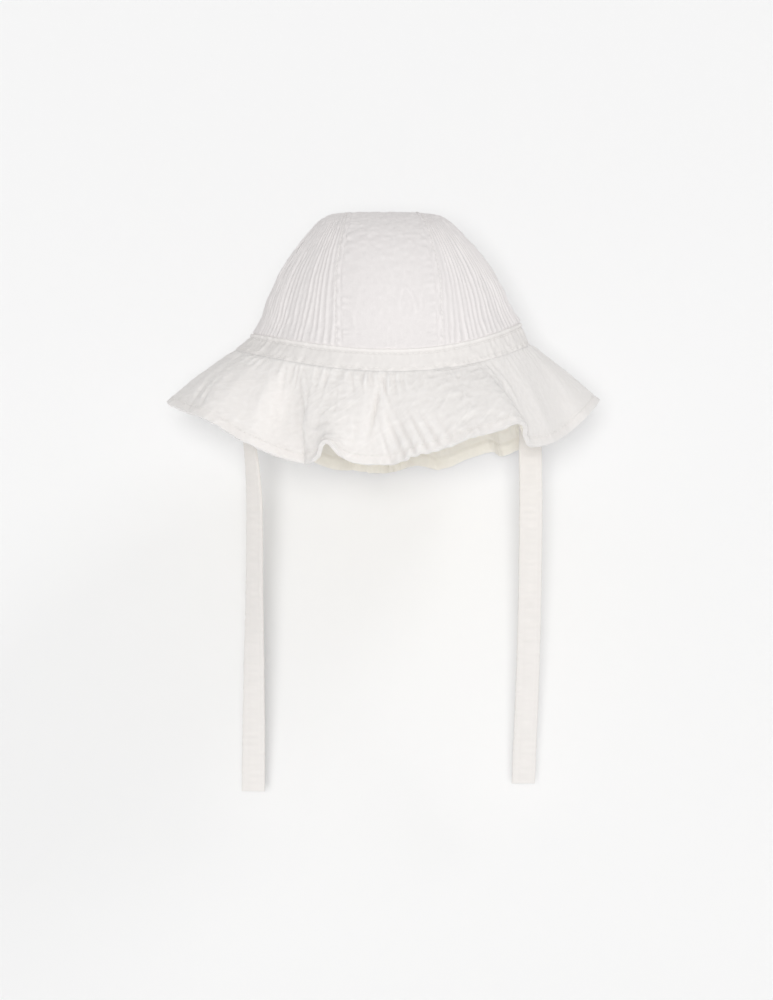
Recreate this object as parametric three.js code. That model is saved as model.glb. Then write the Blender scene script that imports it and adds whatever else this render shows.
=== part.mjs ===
// Infant's sun hat in crinkled double gauze: a three-piece crown, a flared band, a ruffled brim and two ties.
// Millimetres, +Z up, the front faces -Y. The origin is the middle of the head opening,
// level with the lower edge of the band at the sides.
import * as THREE from "three";

// Sizes of the crown
const CROWN_WIDTH = 143;
const CROWN_DEPTH = 151;
const CROWN_BASE_HEIGHT = 12.4; // the crown's lower seam at the sides, above the origin
const CROWN_RISE = 62.6; // from that seam up to the flat top
const FRONT_DIP = 11.4; // how far the crown's lower seam falls at the brow
const BACK_DIP = 13; // and at the nape
const SEAM_LEAN = 3.2; // the seam stands this much higher on the right and lower on the left
const CROWN_TOP_OFFSET = 1.6; // the flat top sits this much to the left of the head opening
const CENTRE_PANEL_WIDTH = 50.5;
const CLOTH = 1.5; // double gauze with its crinkle
const SEAM_GAP = 0.3;
const RIB_PITCH = 5.6; // crinkle ribs round the side panels
const RIB_HEIGHT = 0.7;

// Sizes of the band
const BAND_WIDTH = 13;
const BAND_FLARE_FRONT = 26; // degrees from upright, front and back
const BAND_FLARE_LEFT = 50;
const BAND_FLARE_RIGHT = 26;

// Sizes of the brim
const BRIM_LENGTH = 54; // from the band's lower seam to the hem
const BRIM_BULGE = 3; // how far its section bows outwards halfway down, front and back
const BRIM_BULGE_SIDE = 1;
const FOLD_DEPTH = 9; // the deepest fold at the hem
const HEM_WIDTH = 6;
const HEM_THICKNESS = 2.3; // the hem is turned double
const GATHER_HEIGHT = 1.1;
const GATHER_COUNT = 56;
const GATHER_PEAK = 0.15; // share of the brim's length at which the gathers stand highest
const GATHER_FADE = 0.75; // share of their height that they have lost at the hem

// Sizes of the ties
const TIE_LENGTH = 244;
const TIE_WIDTH = 12.5;
const TIE_THICKNESS = 1.8;
const TIE_SEWN_SHARE = 0.6; // of the band's width, covered by the tie's sewn end

// Facets
const PANEL_ROWS = 8;
const CENTRE_PANEL_COLUMNS = 10;
const BAND_ROWS = 2;
const BRIM_ROWS = [0.3, 0.46, 0.62, 0.76, 0.88, 1]; // shares of the brim's length above its hem
const TIE_SECTIONS = 26;

// Sections of the crown from its lower seam to its top, as shares:
// height of the rise, width and depth of the crown's width and depth, panel of the centre panel's width.
const CROWN_SECTIONS = [
  { height: 0, width: 1, depth: 1, panel: 1 },
  { height: 0.13, width: 0.935, depth: 0.965, panel: 1 },
  { height: 0.32, width: 0.868, depth: 0.915, panel: 1 },
  { height: 0.51, width: 0.778, depth: 0.835, panel: 0.98 },
  { height: 0.7, width: 0.66, depth: 0.71, panel: 0.9 },
  { height: 0.83, width: 0.565, depth: 0.57, panel: 0.82 },
  { height: 0.92, width: 0.49, depth: 0.41, panel: 0.75 },
  { height: 0.98, width: 0.395, depth: 0.21, panel: 0.7 },
];
const CROWN_TOP_PANEL = 0.67; // share of the centre panel's width at the very top

// The brim's hem, a row for each crest and hollow of its folds: azimuth in degrees from the front
// towards +X, reach and drop of the hem from the seam as shares of the brim's length,
// and fold as a share of the fold depth, outwards.
const HEM_FOLDS = [
  { azimuth: 0, reach: 0.39, drop: 0.88, fold: -0.1 },
  { azimuth: 6, reach: 0.47, drop: 0.83, fold: 0.3 },
  { azimuth: 13, reach: 0.59, drop: 0.75, fold: 0 },
  { azimuth: 20, reach: 0.68, drop: 0.68, fold: 0.2 },
  { azimuth: 27, reach: 0.74, drop: 0.62, fold: 0.05 },
  { azimuth: 33, reach: 0.77, drop: 0.57, fold: 0.1 },
  { azimuth: 37, reach: 0.72, drop: 0.6, fold: 0 },
  { azimuth: 41, reach: 0.58, drop: 0.74, fold: 0 },
  { azimuth: 45, reach: 0.5, drop: 0.84, fold: 0 },
  { azimuth: 51, reach: 0.47, drop: 0.885, fold: 0.1 },
  { azimuth: 60, reach: 0.46, drop: 0.88, fold: 0.1 },
  { azimuth: 69, reach: 0.5, drop: 0.82, fold: 0 },
  { azimuth: 76, reach: 0.58, drop: 0.72, fold: 0.1 },
  { azimuth: 83, reach: 0.65, drop: 0.63, fold: 0 },
  { azimuth: 90, reach: 0.7, drop: 0.565, fold: 0 },
  { azimuth: 98, reach: 0.68, drop: 0.61, fold: 0.3 },
  { azimuth: 108, reach: 0.58, drop: 0.74, fold: -0.4 },
  { azimuth: 118, reach: 0.5, drop: 0.84, fold: 0.4 },
  { azimuth: 127, reach: 0.43, drop: 0.9, fold: -0.1 },
  { azimuth: 135, reach: 0.39, drop: 0.955, fold: -0.3 },
  { azimuth: 143, reach: 0.42, drop: 0.91, fold: 0.35 },
  { azimuth: 151, reach: 0.39, drop: 0.92, fold: -0.25 },
  { azimuth: 156, reach: 0.27, drop: 1, fold: 0 },
  { azimuth: 161, reach: 0.2, drop: 1.02, fold: 0.4 },
  { azimuth: 167, reach: 0.24, drop: 0.94, fold: -0.4 },
  { azimuth: 174, reach: 0.2, drop: 1.01, fold: 0.4 },
  { azimuth: 182, reach: 0.2, drop: 1.01, fold: -0.4 },
  { azimuth: 190, reach: 0.19, drop: 1.01, fold: 0.45 },
  { azimuth: 199, reach: 0.2, drop: 0.99, fold: -0.45 },
  { azimuth: 208, reach: 0.3, drop: 0.9, fold: 0.4 },
  { azimuth: 218, reach: 0.42, drop: 0.8, fold: -0.4 },
  { azimuth: 228, reach: 0.52, drop: 0.7, fold: 0.45 },
  { azimuth: 239, reach: 0.6, drop: 0.62, fold: -0.4 },
  { azimuth: 250, reach: 0.65, drop: 0.55, fold: 0.35 },
  { azimuth: 260, reach: 0.67, drop: 0.5, fold: 0 },
  { azimuth: 270, reach: 0.68, drop: 0.515, fold: 0 },
  { azimuth: 278, reach: 0.69, drop: 0.525, fold: 0 },
  { azimuth: 286, reach: 0.68, drop: 0.55, fold: 0.1 },
  { azimuth: 294, reach: 0.67, drop: 0.58, fold: 0 },
  { azimuth: 302, reach: 0.64, drop: 0.64, fold: 0.2 },
  { azimuth: 309, reach: 0.56, drop: 0.73, fold: 0.35 },
  { azimuth: 315, reach: 0.48, drop: 0.82, fold: 0.4 },
  { azimuth: 322, reach: 0.38, drop: 0.88, fold: 0.1 },
  { azimuth: 330, reach: 0.32, drop: 0.915, fold: -0.7 },
  { azimuth: 335, reach: 0.36, drop: 0.9, fold: -0.2 },
  { azimuth: 340, reach: 0.42, drop: 0.87, fold: 0.1 },
  { azimuth: 347, reach: 0.38, drop: 0.89, fold: 0 },
  { azimuth: 353, reach: 0.38, drop: 0.885, fold: -0.2 },
];

// Where the hem turns up into a small flute: azimuth and width in degrees,
// lift upwards and outwards as shares of the brim's length.
const HEM_FLUTES = [{ azimuth: 341.2, width: 3.6, up: 0.19, out: 0.1 }];

// The hanging run of each tie below the band: fall as a share of what hangs,
// drift outwards and sway forwards as shares of the tie's width, turn in degrees of its face.
const TIE_LEFT_RUN = [
  { fall: 0.06, drift: -0.1, sway: 0.02, turn: 80 },
  { fall: 0.16, drift: -0.38, sway: 0.08, turn: 66 },
  { fall: 0.32, drift: -0.66, sway: 0.16, turn: 52 },
  { fall: 0.56, drift: -0.67, sway: 0.16, turn: 44 },
  { fall: 0.8, drift: -0.65, sway: 0.08, turn: 22 },
  { fall: 1, drift: -0.62, sway: 0, turn: 5 },
];
const TIE_RIGHT_RUN = [
  { fall: 0.06, drift: 0.07, sway: 0.02, turn: 70 },
  { fall: 0.14, drift: 0.17, sway: 0.06, turn: 35 },
  { fall: 0.24, drift: 0.23, sway: 0.12, turn: 8 },
  { fall: 0.42, drift: 0.25, sway: 0.14, turn: 3 },
  { fall: 0.7, drift: 0.16, sway: 0.08, turn: 2 },
  { fall: 1, drift: -0.06, sway: 0, turn: 0 },
];

const toRadians = THREE.MathUtils.degToRad;
const clamp = THREE.MathUtils.clamp;
const mix = THREE.MathUtils.lerp;

// A smooth curve through one column of a table, against another column that rises.
function column(rows, along, key) {
  const slope = (i) => {
    const before = rows[Math.max(i - 1, 0)];
    const after = rows[Math.min(i + 1, rows.length - 1)];
    return (after[key] - before[key]) / (after[along] - before[along]);
  };
  return (place) => {
    let i = 0;
    while (i < rows.length - 2 && place > rows[i + 1][along]) i += 1;
    const span = rows[i + 1][along] - rows[i][along];
    const t = (place - rows[i][along]) / span;
    const hold = (1 + 2 * t) * (1 - t) ** 2;
    return (
      hold * rows[i][key] +
      (1 - hold) * rows[i + 1][key] +
      t * (1 - t) * span * ((1 - t) * slope(i) - t * slope(i + 1))
    );
  };
}

// The crown's sections as one run from the front seam, over the top, to the back seam.
const topWidth = (CROWN_TOP_PANEL * CENTRE_PANEL_WIDTH + SEAM_GAP) / CROWN_WIDTH;
const crownFront = CROWN_SECTIONS.map((row, i) => ({ ...row, place: i }));
const crownTop = { height: 1, width: topWidth, depth: 0, panel: CROWN_TOP_PANEL, place: crownFront.length };
const crownBack = crownFront.map((row) => ({
  ...row,
  depth: -row.depth,
  place: 2 * crownTop.place - row.place,
}));
const crownRun = [...crownFront, crownTop, ...crownBack.reverse()];
const crownHeight = column(crownRun, "place", "height");
const crownWidth = column(crownRun, "place", "width");
const crownDepth = column(crownRun, "place", "depth");
const crownPanel = column(crownRun, "place", "panel");

// Height of the crown's lower seam at an azimuth, which dips at the brow and the nape.
function crownSeamHeight(azimuth) {
  const dip = Math.cos(azimuth) > 0 ? FRONT_DIP : BACK_DIP;
  return CROWN_BASE_HEIGHT - dip * Math.cos(azimuth) ** 2 + SEAM_LEAN * Math.sin(azimuth) ** 3;
}

// A point of the crown's outer face: place runs along crownRun, azimuth from the front.
function crownPoint(place, azimuth, sideways) {
  const rise = crownHeight(place);
  const halfDepth = (crownDepth(place) * CROWN_DEPTH) / 2;
  const seam = crownSeamHeight(azimuth);
  const top = CROWN_BASE_HEIGHT + CROWN_RISE;
  const forward = halfDepth * Math.sqrt(Math.max(0, 1 - sideways ** 2));
  return new THREE.Vector3(
    (sideways * crownWidth(place) * CROWN_WIDTH) / 2 - rise * CROWN_TOP_OFFSET,
    -forward,
    mix(seam, top, rise),
  );
}

// The crown's panels end half a seam gap above the band's seam.
const SEAM_ROW = SEAM_GAP / 2 / (CROWN_SECTIONS[1].height * CROWN_RISE);

// Across the centre panel from left to right, and from its front edge over the top to its back edge.
function centrePanel(across, along) {
  const place = mix(SEAM_ROW, 2 * crownTop.place - SEAM_ROW, along);
  const half = (crownPanel(place) * CENTRE_PANEL_WIDTH - SEAM_GAP) / 2;
  const sideways = ((2 * across - 1) * half) / ((crownWidth(place) * CROWN_WIDTH) / 2);
  const lean = Math.asin(clamp(sideways, -1, 1));
  const azimuth = place <= crownTop.place ? lean : Math.PI - lean;
  return crownPoint(place, azimuth, Math.sin(lean));
}

// Round a side panel in the order of rising azimuth, and from its lower edge to its tip.
function sidePanel(side) {
  return (round, up) => {
    const place = mix(SEAM_ROW, crownTop.place, up);
    const half = (crownPanel(place) * CENTRE_PANEL_WIDTH + SEAM_GAP) / 2;
    const first = Math.asin(clamp(half / ((crownWidth(place) * CROWN_WIDTH) / 2), -1, 1));
    const turned = mix(first, Math.PI - first, side > 0 ? round : 1 - round);
    const azimuth = side * turned;
    const point = crownPoint(place, azimuth, Math.sin(azimuth));
    point.y *= Math.cos(azimuth) < 0 ? -1 : 1;
    return point;
  };
}

const sidePanelLength = (Math.PI * (CROWN_WIDTH + CROWN_DEPTH)) / 4 - CENTRE_PANEL_WIDTH;
const ribCount = Math.round(sidePanelLength / RIB_PITCH);

// Ribs of the crinkled cloth, which fade at the seams and towards the panel's tip.
function ribs(round, up) {
  const wave = 1 - 4 * Math.abs(((round * ribCount) % 1) - 0.5);
  const edges = clamp(ribCount * Math.min(round, 1 - round), 0, 1) * clamp(PANEL_ROWS * up, 0, 1);
  return (RIB_HEIGHT / 2) * wave * edges * (1 - up ** 2);
}

// A point of the band's outer face, down from the crown's seam.
function bandPoint(azimuth, down) {
  const sideFlare = azimuth > Math.PI || azimuth < 0 ? BAND_FLARE_LEFT : BAND_FLARE_RIGHT;
  const flare = toRadians(mix(BAND_FLARE_FRONT, sideFlare, Math.sin(azimuth) ** 2));
  const outwards = down * Math.sin(flare);
  return new THREE.Vector3(
    (CROWN_WIDTH / 2 + outwards) * Math.sin(azimuth),
    -(CROWN_DEPTH / 2 + outwards) * Math.cos(azimuth),
    crownSeamHeight(azimuth) - down * Math.cos(flare),
  );
}

function band(round, up) {
  return bandPoint(2 * Math.PI * round, mix(BAND_WIDTH - SEAM_GAP / 2, SEAM_GAP / 2, up));
}

// The hem table closed on itself.
const hemRows = [
  ...HEM_FOLDS.slice(-2).map((row) => ({ ...row, azimuth: row.azimuth - 360 })),
  ...HEM_FOLDS,
  ...HEM_FOLDS.slice(0, 3).map((row) => ({ ...row, azimuth: row.azimuth + 360 })),
];
const hemReach = column(hemRows, "azimuth", "reach");
const hemDrop = column(hemRows, "azimuth", "drop");
const hemFold = column(hemRows, "azimuth", "fold");

// The brim from its hem up to the band's lower seam. Folds grow from the seam to the hem.
function brim(round, up) {
  const azimuth = 2 * Math.PI * round;
  const degrees = 360 * round;
  const out = 1 - up;
  const seam = bandPoint(azimuth, BAND_WIDTH + SEAM_GAP / 2);
  const outward = new THREE.Vector3(Math.sin(azimuth), -Math.cos(azimuth), 0);
  const reach = hemReach(degrees);
  const drop = hemDrop(degrees);
  const across = Math.hypot(reach, drop);
  const bow = mix(BRIM_BULGE, BRIM_BULGE_SIDE, Math.sin(azimuth) ** 2);
  const bulge = (4 * out * up * bow) / across;
  const fold = (out * FOLD_DEPTH * hemFold(degrees)) / across;
  let sideways = out * BRIM_LENGTH * reach + (bulge + fold) * drop;
  let height = -out * BRIM_LENGTH * drop + (bulge + fold) * reach;
  for (const flute of HEM_FLUTES) {
    const turned = Math.exp(-(((degrees - flute.azimuth) / flute.width) ** 2)) * clamp(2 * out - 1, 0, 1) ** 2;
    sideways += turned * flute.out * BRIM_LENGTH;
    height += turned * flute.up * BRIM_LENGTH;
  }
  return seam.addScaledVector(outward, sideways).setZ(seam.z + height);
}

// Small gathers under the seam, which open out towards the hem.
function gathers(round, up) {
  const wave = 1 - 4 * Math.abs(((round * GATHER_COUNT) % 1) - 0.5);
  const out = 1 - up;
  const open = Math.min(out / GATHER_PEAK, 1) * (1 - GATHER_FADE * out);
  return (GATHER_HEIGHT / 2) * wave * open;
}

// The normal of a surface, from its slopes.
function normalOf(surface, u, v) {
  const step = 1e-3;
  const across = surface(Math.min(u + step, 1), v).sub(surface(Math.max(u - step, 0), v));
  const along = surface(u, Math.min(v + step, 1)).sub(surface(u, Math.max(v - step, 0)));
  return across.cross(along).normalize();
}

function geometryOf(points, faces) {
  const geometry = new THREE.BufferGeometry().setFromPoints(points);
  return geometry.setIndex(faces.filter(([a, b, c]) => a !== b && b !== c && c !== a).flat());
}

// A cloth wall under a surface: a closed body whose outer face is the surface raised by its relief.
// The rows are places from 0 to 1. A closed one joins its sides, and one with a tip ends in a point.
function clothWall({ surface, relief = () => 0, wall = () => CLOTH, columns, rows, closed, tip }) {
  const points = [];
  const last = rows.length - 1;
  const place = (i, j) => (tip && j === last ? 0 : closed ? i % columns : i);
  const outer = (i, j) => 2 * (place(i, j) * rows.length + j);
  const inner = (i, j) => outer(i, j) + 1;
  for (let i = 0; i < columns + (closed ? 0 : 1); i++)
    for (let j = 0; j <= last; j++) {
      const u = i / columns;
      const v = rows[j];
      const atTip = tip && j === last;
      const normal = atTip ? new THREE.Vector3(0, 0, 1) : normalOf(surface, u, v);
      const point = surface(u, v).addScaledVector(normal, relief(u, v));
      points.push(point, point.clone().addScaledVector(normal, -wall(v)));
    }
  const faces = [];
  const quad = (a, b, c, d) => faces.push([a, b, c], [a, c, d]);
  for (let i = 0; i < columns; i++) {
    for (let j = 0; j < last; j++) {
      quad(outer(i, j), outer(i + 1, j), outer(i + 1, j + 1), outer(i, j + 1));
      quad(inner(i, j), inner(i, j + 1), inner(i + 1, j + 1), inner(i + 1, j));
    }
    quad(outer(i + 1, 0), outer(i, 0), inner(i, 0), inner(i + 1, 0));
    quad(outer(i, last), outer(i + 1, last), inner(i + 1, last), inner(i, last));
  }
  for (let j = 0; j < last && !closed; j++) {
    quad(outer(0, j), outer(0, j + 1), inner(0, j + 1), inner(0, j));
    quad(outer(columns, j + 1), outer(columns, j), inner(columns, j), inner(columns, j + 1));
  }
  return geometryOf(points, faces);
}

const evenRows = (count) => Array.from({ length: count + 1 }, (_, j) => j / count);

function cloth(name, geometry, colour) {
  const material = new THREE.MeshStandardMaterial({ color: colour, roughness: 0.95, metalness: 0 });
  const mesh = new THREE.Mesh(geometry, material);
  mesh.name = name;
  return mesh;
}

// A tie: its sewn end lies inside the band, and the rest hangs from there and turns its face to the front.
function tie(side, run) {
  const azimuth = (side * Math.PI) / 2;
  const seat = CLOTH + SEAM_GAP + TIE_THICKNESS / 2;
  const slope = bandPoint(azimuth, BAND_WIDTH).sub(bandPoint(azimuth, 0)).normalize();
  const inward = new THREE.Vector3(0, side, 0).cross(slope);
  const against = (down) => bandPoint(azimuth, down).addScaledVector(inward, seat);
  const sewn = TIE_SEWN_SHARE * BAND_WIDTH;
  const start = against(BAND_WIDTH - sewn);
  const end = against(BAND_WIDTH);
  const hanging = TIE_LENGTH - sewn;
  const turns = [
    { place: 0, turn: 90 },
    { place: sewn / TIE_LENGTH, turn: 90 },
    ...run.map((row) => ({ place: (sewn + row.fall * hanging) / TIE_LENGTH, turn: row.turn })),
  ];
  const turnAt = column(turns, "place", "turn");
  const route = new THREE.CatmullRomCurve3([
    start,
    end,
    ...run.map(
      (row) =>
        new THREE.Vector3(
          end.x + side * row.drift * TIE_WIDTH,
          end.y - row.sway * TIE_WIDTH,
          end.z - row.fall * hanging,
        ),
    ),
  ]);
  const points = [];
  const faces = [];
  for (let k = 0; k <= TIE_SECTIONS; k++) {
    const place = k / TIE_SECTIONS;
    const centre = route.getPointAt(place);
    const turn = toRadians(turnAt(place));
    const wide = new THREE.Vector3(Math.cos(turn), side * Math.sin(turn), 0);
    const thick = route.getTangentAt(place).cross(wide).normalize();
    for (const [w, t] of [[-1, -1], [1, -1], [1, 1], [-1, 1]])
      points.push(
        centre
          .clone()
          .addScaledVector(wide, (w * TIE_WIDTH) / 2)
          .addScaledVector(thick, (t * TIE_THICKNESS) / 2),
      );
  }
  for (let k = 0; k < TIE_SECTIONS; k++)
    for (let c = 0; c < 4; c++) {
      const here = 4 * k + c;
      const next = 4 * k + ((c + 1) % 4);
      faces.push([here, next, next + 4], [here, next + 4, here + 4]);
    }
  const foot = 4 * TIE_SECTIONS;
  faces.push([0, 2, 1], [0, 3, 2], [foot, foot + 1, foot + 2], [foot, foot + 2, foot + 3]);
  return geometryOf(points, faces);
}

const CROWN_WHITE = 0xf1efee;
const BRIM_WHITE = 0xf3f1ea;
const TIE_WHITE = 0xefedea;

const crown = new THREE.Group();
crown.add(
  cloth(
    "crown_centre_panel",
    clothWall({ surface: centrePanel, columns: CENTRE_PANEL_COLUMNS, rows: evenRows(2 * PANEL_ROWS) }),
    CROWN_WHITE,
  ),
);
for (const [side, name] of [[-1, "crown_side_panel_left"], [1, "crown_side_panel_right"]])
  crown.add(
    cloth(
      name,
      clothWall({
        surface: sidePanel(side),
        relief: ribs,
        columns: 2 * ribCount,
        rows: evenRows(PANEL_ROWS),
        tip: true,
      }),
      CROWN_WHITE,
    ),
  );
crown.add(
  cloth(
    "crown_band",
    clothWall({ surface: band, columns: 2 * GATHER_COUNT, rows: evenRows(BAND_ROWS), closed: true }),
    BRIM_WHITE,
  ),
);

// The turned hem ends in a step down to the single cloth.
const hemShare = HEM_WIDTH / BRIM_LENGTH;
const hemStep = (HEM_THICKNESS - CLOTH) / BRIM_LENGTH;
const ruffleBrim = cloth(
  "ruffle_brim",
  clothWall({
    surface: brim,
    relief: gathers,
    wall: (up) => (up <= hemShare ? HEM_THICKNESS : CLOTH),
    columns: 2 * GATHER_COUNT,
    rows: [0, hemShare, hemShare + hemStep, ...BRIM_ROWS],
    closed: true,
  }),
  BRIM_WHITE,
);

const ties = new THREE.Group();
ties.add(cloth("tie_left", tie(-1, TIE_LEFT_RUN), TIE_WHITE));
ties.add(cloth("tie_right", tie(1, TIE_RIGHT_RUN), TIE_WHITE));

const hat = new THREE.Group();
hat.add(crown, ruffleBrim, ties);

export default hat;
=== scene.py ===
import math

import bmesh
import bpy
import numpy as np
from mathutils import Matrix, Vector


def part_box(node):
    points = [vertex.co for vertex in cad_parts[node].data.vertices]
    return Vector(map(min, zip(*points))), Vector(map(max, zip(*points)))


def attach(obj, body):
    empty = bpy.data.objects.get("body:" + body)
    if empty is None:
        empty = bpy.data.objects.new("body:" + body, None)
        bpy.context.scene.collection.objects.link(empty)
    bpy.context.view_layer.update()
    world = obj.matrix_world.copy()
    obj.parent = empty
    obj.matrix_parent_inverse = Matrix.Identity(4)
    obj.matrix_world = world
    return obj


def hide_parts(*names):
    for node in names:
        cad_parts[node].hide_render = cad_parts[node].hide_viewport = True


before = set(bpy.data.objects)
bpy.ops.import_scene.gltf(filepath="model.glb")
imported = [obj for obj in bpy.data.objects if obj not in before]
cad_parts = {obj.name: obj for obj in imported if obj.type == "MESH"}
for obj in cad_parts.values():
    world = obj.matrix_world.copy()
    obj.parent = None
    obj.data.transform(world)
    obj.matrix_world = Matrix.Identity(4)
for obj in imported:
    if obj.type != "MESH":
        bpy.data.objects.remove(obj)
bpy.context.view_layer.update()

bl_info = {
    "name": "Gauze Sun Hat",
    "version": (1, 0, 0),
    "blender": (4, 5, 0),
    "location": "3D View > Sidebar > Sun Hat",
    "description": "Dresses the packed solids of an infant's ruffle-brimmed gauze sun hat",
    "category": "Object",
}

BODY = "root"
MM = 0.001

# The construction sizes, the same as the solids', in metres
CROWN_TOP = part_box("crown_centre_panel")[1].z
CROWN_BASE = 12.4 * MM
FRONT_DIP = 11.4 * MM
BACK_DIP = 13 * MM
SEAM_LEAN = 3.2 * MM
TOP_OFFSET = 1.6 * MM
SEAM_GAP = 0.3 * MM
BAND_FLARE_FRONT = math.radians(26)
BAND_FLARE_LEFT = math.radians(50)
BAND_FLARE_RIGHT = math.radians(26)
BRIM_BULGE = 3 * MM
BRIM_BULGE_SIDE = 1 * MM
FOLD_DEPTH = 9 * MM
HEM_THICKNESS = 2.3 * MM
TIE_SEWN_SHARE = 0.6
TIE_CORNER = 0.42

# The cut sizes of the crown's panels, and how much longer a side panel's cloth is than its rise
CENTRE_PANEL_RUN = 240 * MM
SIDE_PANEL_BOW = 1.35

# How far each stitch line lies from the edge that it follows, and half the width of its groove
SEAM_STITCHING = 2.9 * MM
BAND_TOP_STITCHING = 2.9 * MM
BAND_FOOT_STITCHING = 1.9 * MM
HEM_STITCHING = 1.1 * MM
STITCH_GROOVE = 0.45 * MM
BAND_GROOVE = 0.5 * MM

# The stitches' pitch as a share of their length, the thread's height over the cloth as a share of
# its radius, the run of the panel seams' stitches and how finely each line of them is followed
STITCH_PITCH = 1.35
THREAD_LIFT = 0.6
SEAM_STITCH_RUN = (0.02, 0.93)
SEAM_SAMPLES = 240
ROUND_SAMPLES = 900

# The relief fades out over these widths along a piece's sides and its ends, so that the pieces meet
SEAM_FADE = 1.1 * MM
END_FADE = 1 * MM

# A spot of the cloth is on a crest or in a crease by its height over the cloth around it. The materials
# use this to paint shade into the creases and leave the crests lighter.
CREST_REACH = 1.3 * MM
CREST_HEIGHT = 0.3 * MM

# Sections of the crown from its lower seam to its top, as shares of the crown's rise, width and
# depth and of the centre panel's width.
CROWN_SECTIONS = {
    "height": (0, 0.13, 0.32, 0.51, 0.7, 0.83, 0.92, 0.98),
    "width": (1, 0.935, 0.868, 0.778, 0.66, 0.565, 0.49, 0.395),
    "depth": (1, 0.965, 0.915, 0.835, 0.71, 0.57, 0.41, 0.21),
    "panel": (1, 1, 1, 0.98, 0.9, 0.82, 0.75, 0.7),
}
CROWN_TOP_PANEL = 0.67

# The brim's hem, a row for each crest and hollow: azimuth in degrees from the front towards +X,
# reach and drop as shares of the brim's length, fold as a share of the fold depth.
HEM_FOLDS = (
    # azimuth, reach, drop, fold
    (0, 0.39, 0.88, -0.1), (6, 0.47, 0.83, 0.3), (13, 0.59, 0.75, 0), (20, 0.68, 0.68, 0.2),
    (27, 0.74, 0.62, 0.05), (33, 0.77, 0.57, 0.1), (37, 0.72, 0.6, 0), (41, 0.58, 0.74, 0),
    (45, 0.5, 0.84, 0), (51, 0.47, 0.885, 0.1), (60, 0.46, 0.88, 0.1), (69, 0.5, 0.82, 0),
    (76, 0.58, 0.72, 0.1), (83, 0.65, 0.63, 0), (90, 0.7, 0.565, 0), (98, 0.68, 0.61, 0.3),
    (108, 0.58, 0.74, -0.4), (118, 0.5, 0.84, 0.4), (127, 0.43, 0.9, -0.1), (135, 0.39, 0.955, -0.3),
    (143, 0.42, 0.91, 0.35), (151, 0.39, 0.92, -0.25), (156, 0.27, 1, 0), (161, 0.2, 1.02, 0.4),
    (167, 0.24, 0.94, -0.4), (174, 0.2, 1.01, 0.4), (182, 0.2, 1.01, -0.4), (190, 0.19, 1.01, 0.45),
    (199, 0.2, 0.99, -0.45), (208, 0.3, 0.9, 0.4), (218, 0.42, 0.8, -0.4), (228, 0.52, 0.7, 0.45),
    (239, 0.6, 0.62, -0.4), (250, 0.65, 0.55, 0.35), (260, 0.67, 0.5, 0), (270, 0.68, 0.515, 0),
    (278, 0.69, 0.525, 0), (286, 0.68, 0.55, 0.1), (294, 0.67, 0.58, 0), (302, 0.64, 0.64, 0.2),
    (309, 0.56, 0.73, 0.35), (315, 0.48, 0.82, 0.4), (322, 0.38, 0.88, 0.1), (330, 0.32, 0.915, -0.7),
    (335, 0.36, 0.9, -0.2), (340, 0.42, 0.87, 0.1), (347, 0.38, 0.89, 0), (353, 0.38, 0.885, -0.2),
)

# Where the hem turns up into a small flute: azimuth and width in degrees, lift upwards and
# outwards as shares of the brim's length.
HEM_FLUTES = (
    # azimuth, width, up, out
    (341.2, 3.6, 0.19, 0.1),
)

# The hanging run of each tie below the band: fall as a share of what hangs, drift outwards and
# sway forwards as shares of the tie's width, turn of its face in degrees.
TIE_RUNS = {
    -1: (
        # fall, drift, sway, turn
        (0.06, -0.1, 0.02, 80), (0.16, -0.38, 0.08, 66), (0.32, -0.66, 0.16, 52),
        (0.56, -0.67, 0.16, 44), (0.8, -0.65, 0.08, 22), (1, -0.62, 0, 5),
    ),
    1: (
        (0.06, 0.07, 0.02, 70), (0.14, 0.17, 0.06, 35), (0.24, 0.23, 0.12, 8),
        (0.42, 0.25, 0.14, 3), (0.7, 0.16, 0.08, 2), (1, -0.06, 0, 0),
    ),
}

# How many long ridges run down the brim, round the whole hat
BRIM_RIDGE_COUNT = 118

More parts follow.
